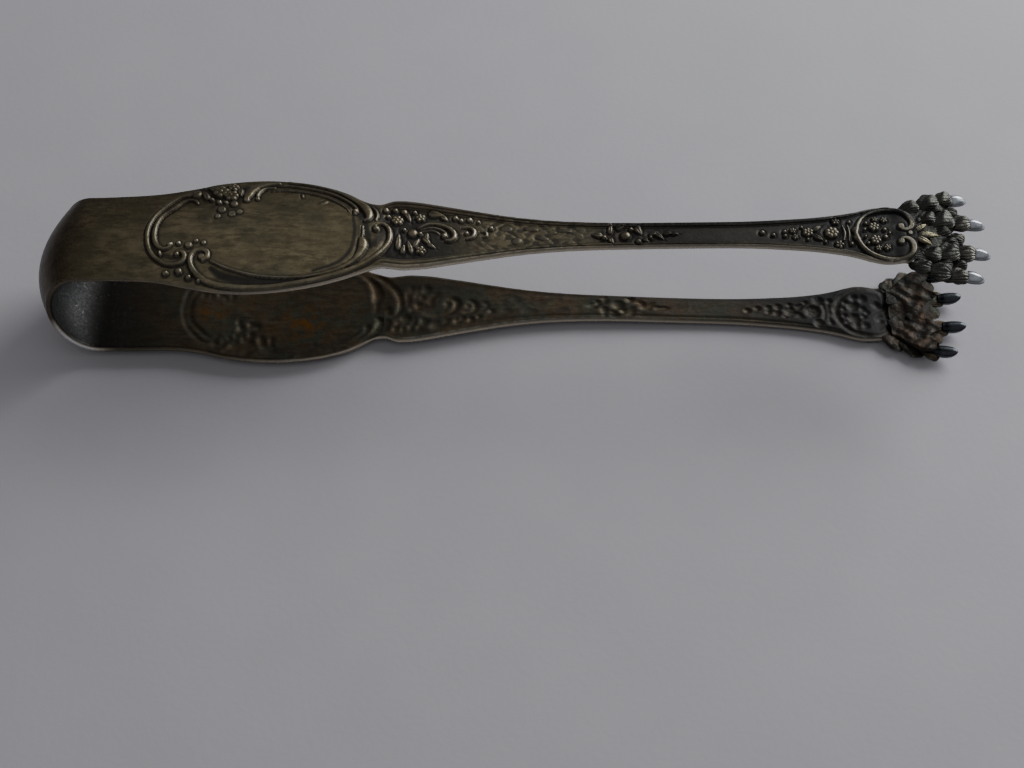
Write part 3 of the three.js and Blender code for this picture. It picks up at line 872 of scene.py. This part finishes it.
def petal_rings(x, y, length, width, turn):
    """One leaf of the trefoil that covers the root of the paw."""
    along, around = grid_over(PETAL_CELLS, 0.002)
    radius = np.sin(math.pi * along**0.8) ** 0.8 * (1 - 0.22 * np.exp(-((np.cos(around) / 0.2) ** 2)))
    height = TREFOIL_HEIGHT + TREFOIL_RISE * along + 0.5 * radius * np.sin(around)
    values = {
        "hollow_and_shade": 0.25 * (1 - radius),
        "worn": 0.7 * smoothstep(0.1, 0.6, along),
        "gilt": 1,
    }
    side = width * radius * np.cos(around)
    return body_rings(x, y, turn, length * along, side, below_rest(height), values)


def talon_rings(toe):
    """A smooth curved talon, a little flattened, widest near its middle and pointed."""
    x, y, half_length, _, turn = toe[-1]
    along, around = grid_over(TALON_CELLS, 0)
    outline = curve_through([0, 0.25, 0.5, 0.75, 0.9, 0.97, 1], [0.78, 0.96, 1.0, 0.84, 0.55, 0.31, 0.02])
    radius = TALON_RADIUS * outline(along)
    reach = TALON_LENGTH * along
    drop = TALON_CURL * np.clip(reach - TALON_START, 0, None) ** 2
    keel = 0.12 * radius * np.exp(-((np.cos(around) / 0.3) ** 2)) * (np.sin(around) > 0)
    height = paw_height(x, y) + TALON_LIFT - drop + 0.8 * radius * np.sin(around) + keel
    # Painted shade along the talon's sides, and at its root
    edges = 0.8 * smoothstep(0.8, 1, abs(np.cos(around)))
    values = {
        "hollow_and_shade": np.maximum(1 - smoothstep(0.2, 0.38, along), edges),
        "inside": smoothstep(0.25, -0.35, np.sin(around)),
    }
    root = x + half_length - TALON_START
    return body_rings(root, y, turn, reach, 1.05 * radius * np.cos(around), height, values)


# ---- materials ------------------------------
class Shader:
    """The node tree of a material or world. Patterns are laid out in the part's own millimetres."""

    def __init__(self, owner):
        owner.use_nodes = True
        self.owner = owner
        self.tree = owner.node_tree

    def node(self, kind, **settings):
        made = self.tree.nodes.new(kind)
        for key, value in settings.items():
            setattr(made, key, value)
        return made

    def connect(self, value, socket):
        if isinstance(value, bpy.types.NodeSocket):
            self.tree.links.new(value, socket)
        else:
            socket.default_value = value

    def attribute(self, name, output="Fac"):
        return self.node("ShaderNodeAttribute", attribute_name=name).outputs[output]

    def clouds(self, place, scale, detail=2.0, roughness=0.5):
        noise = self.node("ShaderNodeTexNoise")
        settings = {"Vector": place, "Scale": scale, "Detail": detail, "Roughness": roughness}
        for key, value in settings.items():
            self.connect(value, noise.inputs[key])
        return noise.outputs["Fac"]

    def noise(self, scale, detail=3.0, roughness=0.55, stretch=(1, 1, 1), shift=0.0):
        """Cloud noise from 0 to 1 with scale features per millimetre."""
        mapping = self.node("ShaderNodeMapping")
        mapping.inputs["Scale"].default_value = [scale * s for s in stretch]
        mapping.inputs["Location"].default_value = (shift, shift * 0.7, shift * 1.3)
        self.connect(self.attribute("place", "Vector"), mapping.inputs["Vector"])
        return self.clouds(mapping.outputs["Vector"], 1.0, detail, roughness)

    def math(self, operation, a, b=0.0, clamp=False):
        made = self.node("ShaderNodeMath", operation=operation, use_clamp=clamp)
        self.connect(a, made.inputs[0])
        self.connect(b, made.inputs[1])
        return made.outputs[0]

    def times(self, *factors):
        product = factors[0]
        for factor in factors[1:]:
            product = self.math("MULTIPLY", product, factor)
        return product

    def ramp(self, value, low, high, start=0.0, end=1.0):
        """start below low, end above high, and smooth between them."""
        made = self.node("ShaderNodeMapRange", interpolation_type="SMOOTHSTEP")
        for socket, number in (("From Min", low), ("From Max", high), ("To Min", start), ("To Max", end)):
            made.inputs[socket].default_value = number
        self.connect(value, made.inputs["Value"])
        return made.outputs["Result"]

    def mix(self, share, a, b):
        made = self.node("ShaderNodeMix", data_type="RGBA")
        self.connect(share, made.inputs[0])
        for colour, socket in ((a, made.inputs[6]), (b, made.inputs[7])):
            self.connect(colour if isinstance(colour, bpy.types.NodeSocket) else (*colour, 1), socket)
        return made.outputs[2]

    def bump(self, height, distance, strength=1.0, under=None):
        made = self.node("ShaderNodeBump")
        made.inputs["Strength"].default_value = strength
        made.inputs["Distance"].default_value = distance
        self.connect(height, made.inputs["Height"])
        if under is not None:
            self.connect(under, made.inputs["Normal"])
        return made.outputs["Normal"]

    def finish(self, **inputs):
        for name, value in inputs.items():
            self.connect(value, self.tree.nodes["Principled BSDF"].inputs[name.replace("_", " ")])
        return self.owner


GREEN_TARNISH = (0.08, 0.088, 0.06)
LINING_BROWN = (0.058, 0.044, 0.03)
LINING_GREEN = (0.042, 0.05, 0.039)
LINING_STREAK = (0.02, 0.016, 0.012)
RUST = (0.1, 0.05, 0.018)
BRIGHT_RUST = (0.16, 0.07, 0.015)
STEM_GREY = (0.085, 0.09, 0.09)
INNER_SHINE = (0.19, 0.2, 0.18)
OLD_GILT = (0.25, 0.21, 0.09)
AGE_AND_SHADE_BROWN = (0.036, 0.024, 0.014)
AGE_AND_SHADE_GREY = (0.026, 0.026, 0.026)
BOWL_GREY = (0.026, 0.028, 0.03)
BOWL_PAINTED_GLINTS = (0.15, 0.155, 0.155)
RIM_WEAR_AND_HIGHLIGHT = (0.58, 0.52, 0.42)
RIM_GLINT = (0.95, 0.94, 0.9)
STREAK_REACH = (0.28, 0.12)  # a wide and a narrow range of noise, for soft and for harsh streaks
GREYING = (3, 25)  # mm past the middle of the tongs, where the bow's brown gives way to the stem's grey


def outer_tarnish(m, light, dark, crevice):
    """Streaks in patches, clouded darker and greener, with dark specks."""
    streaks = m.noise(1.1, 6, 0.7, stretch=(0.3, 1, 1))
    soft, harsh = (m.mix(m.ramp(streaks, 0.5 - reach, 0.5 + reach), dark, light) for reach in STREAK_REACH)
    colour = m.mix(m.ramp(m.noise(0.22, 3, 0.5, shift=21.0), 0.42, 0.6), soft, harsh)
    mottle = m.ramp(m.noise(0.45, 5, 0.65, shift=13.0), 0.48, 0.68)
    colour = m.mix(m.times(mottle, 0.45), colour, dark)
    clouds = m.noise(0.16, 4, 0.5, shift=3.0)
    colour = m.mix(m.times(m.ramp(clouds, 0.45, 0.65), 0.4), colour, GREEN_TARNISH)
    specks = m.noise(2.4, 4, 0.7, shift=7.0)
    colour = m.mix(m.times(m.ramp(specks, 0.52, 0.72), 0.4), colour, crevice)
    return colour, streaks, clouds, specks


def inner_tarnish(m, colour, inside, streaks, clouds):
    """The inner face's brown and green lining, with its rust."""
    lining = m.mix(m.ramp(clouds, 0.42, 0.58), LINING_BROWN, LINING_GREEN)
    lining = m.mix(m.ramp(streaks, 0.4, 0.6, 0.5, 0.0), lining, LINING_STREAK)
    colour = m.mix(m.times(inside, 0.8), colour, lining)
    rust = m.ramp(m.noise(0.5, 4, 0.6, shift=11.0), 0.4, 0.62)
    colour = m.mix(m.times(rust, inside, 0.25), colour, RUST)
    return m.mix(m.times(m.attribute("amber"), rust), colour, BRIGHT_RUST)


def rub_and_highlight(m, colour, inside, bright):
    """Metal showing on what stands out, duller inside and gilt in places; on the stem's bead and the front
    tufts it is partly painted highlight.
    """
    patchy = m.ramp(m.noise(0.8, 4, 0.6, shift=4.0), 0.35, 0.62, 0.3, 1.0)
    # Wear, together with the painted highlights on the bead and the front tufts
    rubbed = m.math("MULTIPLY", m.attribute("worn"), patchy, clamp=True)
    shine = m.mix(m.times(inside, 0.7), bright, INNER_SHINE)
    shine = m.mix(m.times(m.attribute("gilt"), 0.8), shine, OLD_GILT)
    return m.mix(rubbed, colour, shine)


def bow_lining(m, colour):
    """The dark blue-grey inner face of the bow, with painted specks of highlight."""
    bowl = m.attribute("bowl")
    colour = m.mix(m.times(bowl, 0.85), colour, BOWL_GREY)
    painted_glints = m.times(bowl, m.ramp(m.noise(1.8, 5, 0.75, shift=9.0), 0.53, 0.72))
    painted_glints = m.times(painted_glints, m.ramp(m.noise(0.5, 3, 0.6, shift=17.0), 0.4, 0.62, 0.15, 1.0), 0.6)
    return m.mix(painted_glints, colour, BOWL_PAINTED_GLINTS)


def silver_surface(m, dents):
    """Fine scratches along the strip, grain and shallow dents."""
    normal = m.bump(m.noise(5.0, 3, 0.6, stretch=(0.12, 1, 1), shift=5.0), 0.00001, 0.35)
    normal = m.bump(m.noise(9.0, 3, 0.6, shift=2.0), 0.000012, 0.4, normal)
    return m.bump(m.noise(0.55, 5, 0.6, shift=6.0), dents, 1.0, normal)


def tarnished_silver(name, light, dark, crevice, bright, gloss, dents):
    """Old plated metal: clouded tarnish, dark in the hollows and rubbed bright on what stands out, with
    painted shade, painted highlights on edges and a painted glint by the bow.
    """
    m = Shader(bpy.data.materials.new(name))
    hollow_and_shade, inside, rim = (m.attribute(value) for value in ("hollow_and_shade", "inside", "rim"))
    colour, streaks, clouds, specks = outer_tarnish(m, light, dark, crevice)
    colour = inner_tarnish(m, colour, inside, streaks, clouds)
    place = m.node("ShaderNodeSeparateXYZ")
    m.connect(m.attribute("place", "Vector"), place.inputs[0])
    on_stem = m.ramp(place.outputs["X"], *GREYING)
    greyed = m.times(m.math("SUBTRACT", on_stem, inside, clamp=True), 0.4)
    colour = m.mix(greyed, colour, STEM_GREY)
    # Tarnish in the hollows, with painted shade under and between the tufts and on the paw plate
    colour = m.mix(m.times(hollow_and_shade, 0.95), colour, crevice)
    colour = rub_and_highlight(m, colour, inside, bright)
    # Darkening by age, with painted shade at the bow's crown, along the far edge and over the rear tufts
    age_and_shade = m.math("MULTIPLY", m.attribute("stain_and_shade"), m.ramp(specks, 0.35, 0.65, 1.05, 0.75), clamp=True)
    colour = m.mix(age_and_shade, colour, m.mix(on_stem, AGE_AND_SHADE_BROWN, AGE_AND_SHADE_GREY))
    colour = bow_lining(m, colour)
    # Painted highlight on the rubbed edge, then the painted glint beside the bow
    colour = m.mix(m.math("MINIMUM", rim, 1.0), colour, RIM_WEAR_AND_HIGHLIGHT)
    colour = m.mix(m.math("SUBTRACT", rim, 1.0, clamp=True), colour, RIM_GLINT)
    dull = m.math("ADD", m.times(hollow_and_shade, 0.2), m.times(inside, 0.14))
    dull = m.math("SUBTRACT", dull, m.times(rim, 0.12))
    rough = m.math("ADD", m.ramp(specks, 0.35, 0.7, gloss - 0.05, gloss + 0.12), dull, clamp=True)
    return m.finish(Base_Color=colour, Metallic=1.0, Roughness=rough, Normal=silver_surface(m, dents))


def talon_silver():
    """Bright smooth silver, with painted shade round its root, along its sides and on the side that faces the
    other arm.
    """
    m = Shader(bpy.data.materials.new("talon_silver"))
    specks = m.noise(0.7, 2, 0.5)
    colour = m.mix(m.ramp(specks, 0.4, 0.7), (0.54, 0.57, 0.6), (0.32, 0.33, 0.34))
    colour = m.mix(m.times(m.attribute("hollow_and_shade"), 0.85), colour, (0.05, 0.045, 0.035))
    # Painted shade on the side that faces the other arm
    colour = m.mix(m.times(m.attribute("inside"), 0.92), colour, (0.022, 0.026, 0.03))
    rough = m.ramp(specks, 0.35, 0.7, 0.24, 0.32)
    return m.finish(Base_Color=colour, Metallic=1.0, Roughness=rough, Normal=m.bump(specks, 0.00001, 0.2))


def paper():
    """Pale grey-blue drawing paper with a faint grain."""
    m = Shader(bpy.data.materials.new("paper"))
    place = m.node("ShaderNodeTexCoord").outputs["Object"]
    mottle = m.ramp(m.clouds(place, 60), 0.3, 0.7)
    colour = m.mix(mottle, (0.528, 0.518, 0.54), (0.545, 0.535, 0.556))
    normal = m.bump(m.clouds(place, 900, 3), 0.00006, 0.5)
    return m.finish(Base_Color=colour, Roughness=0.92, Normal=normal)


STRUCK = tarnished_silver(
    "struck_silver", light=(0.29, 0.245, 0.145), dark=(0.14, 0.12, 0.073), crevice=(0.034, 0.0335, 0.033),
    bright=(0.42, 0.385, 0.315), gloss=0.36, dents=0.00008)
CLAW = tarnished_silver(
    "claw_silver", light=(0.1, 0.092, 0.066), dark=(0.05, 0.046, 0.034), crevice=(0.02, 0.0195, 0.018),
    bright=(0.34, 0.32, 0.27), gloss=0.32, dents=0.0003)
TALON = talon_silver()


# ---- putting the tongs together ------------------------------
def finish_piece(piece, node, material):
    piece.data.materials.append(material)
    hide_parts(node)


def stem_and_scroll(r):
    """The stem's own relief, with the end of the plate's long scroll that overlaps it."""
    stem(r)
    oval_plate(r)


# How far each arm's ornament lies nearer to the stem than drawn
SLIDES = {
    "upper": curve_through([0, 150], [0, 0]),
    "lower": curve_through([9, 18.4, 24, 30, 36, 50, 57, 62], [3.2, 3.2, 2.3, 1.4, 1.0, 1.0, 0.8, 0]),
}


# The strip's sections: name, start and end, step along, columns across the outer face, ornament
SECTIONS = [
    ("oval_plate", ARM_START, NOTCH_X, 0.135, 178, oval_plate),
    ("stem", NOTCH_X, HEART_X, 0.13, 120, stem_and_scroll),
    ("heart", HEART_X, HEART_END, 0.1, 150, heart),
]
BEND_LENGTH = 20  # how far from the bow along the arm the line for the spring's bend reaches; nothing is bent along it
BEND_HEIGHT = 9.0  # height of that line


def make_side(label, hand):
    body = label + "_side"
    slide = SLIDES[label]
    for section, start, end, step, columns, ornament in SECTIONS:
        rings = strip_rings(start, end, step, columns, ornament, slide)
        piece = tube_piece(f"{label}_{section}", [rings], hand)
        finish_piece(piece, label + "_arm", STRUCK)
        if section == "oval_plate":
            bend = (ARM_START, ARM_START + BEND_LENGTH)
            start, end = (Vector(in_frame(np.array((x, 0, BEND_HEIGHT)), hand)) for x in bend)
            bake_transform(piece)
            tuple(start)
            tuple(end)
        else:
            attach(piece, body)
    petals = [petal_rings(*petal) for petal in TREFOIL]
    fillers = [tuft_rings(*tuft, seed=1.7 * i, drop=FILLER_DROP) for i, tuft in enumerate(FILLERS)]
    foot = tube_piece(label + "_paw", [paw_rings(), *petals, *fillers], hand)
    finish_piece(foot, label + "_claw_foot", CLAW)
    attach(foot, body)
    for number, toe in enumerate(TOES, 1):
        tufts = [tuft_rings(*tuft, seed=0.9 * i + number) for i, tuft in enumerate(toe)]
        piece = tube_piece(f"{label}_toe_{number}", tufts, hand)
        finish_piece(piece, label + "_claw_foot", CLAW)
        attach(piece, body)
        talon = tube_piece(f"{label}_claw_{number}", [talon_rings(toe)], hand)
        finish_piece(talon, f"{label}_talon_{number}", TALON)
        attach(talon, body)


def make_bow():
    piece = tube_piece("bow_shell", [bow_rings()], 1)
    finish_piece(piece, "spring_bow", STRUCK)
    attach(piece, "bow")


# ---- stage ------------------------------
FLOOR_HALF = 1.5


def make_floor():
    mesh = bpy.data.meshes.new("floor")
    corners = [(x * FLOOR_HALF, y * FLOOR_HALF, 0) for x, y in ((-1, -1), (1, -1), (1, 1), (-1, 1))]
    mesh.from_pydata(corners, [], [(0, 1, 2, 3)])
    mesh.materials.append(paper())
    floor = bpy.data.objects.new("floor", mesh)
    floor.location.z = LOW.z
    bpy.context.scene.collection.objects.link(floor)


def make_light(name, place, aim, size, power, colour):
    data = bpy.data.lights.new(name, "AREA")
    data.shape = "RECTANGLE"
    data.size, data.size_y = size
    data.energy = power
    data.color = colour
    lamp = bpy.data.objects.new(name, data)
    lamp.location = place
    lamp.rotation_euler = (Vector(aim) - Vector(place)).to_track_quat("-Z", "Y").to_euler()
    bpy.context.scene.collection.objects.link(lamp)


def make_world():
    """A soft grey room, dim at the walls and lighter overhead."""
    world = bpy.data.worlds.new("world")
    m = Shader(world)
    height = m.node("ShaderNodeSeparateXYZ")
    m.connect(m.node("ShaderNodeTexCoord").outputs["Generated"], height.inputs["Vector"])
    shade = m.mix(m.ramp(height.outputs["Z"], -0.1, 0.85), (0.07, 0.07, 0.075), (0.3, 0.298, 0.312))
    m.connect(shade, m.tree.nodes["Background"].inputs["Color"])
    bpy.context.scene.world = world


make_bow()
make_side("upper", 1)
make_side("lower", -1)
make_floor()
make_light(
    "window", place=(0.36, 0.28, 0.22), aim=(0.08, 0.05, 0), size=(0.42, 0.34), power=2.6,
    colour=(0.95, 0.97, 1))
make_world()
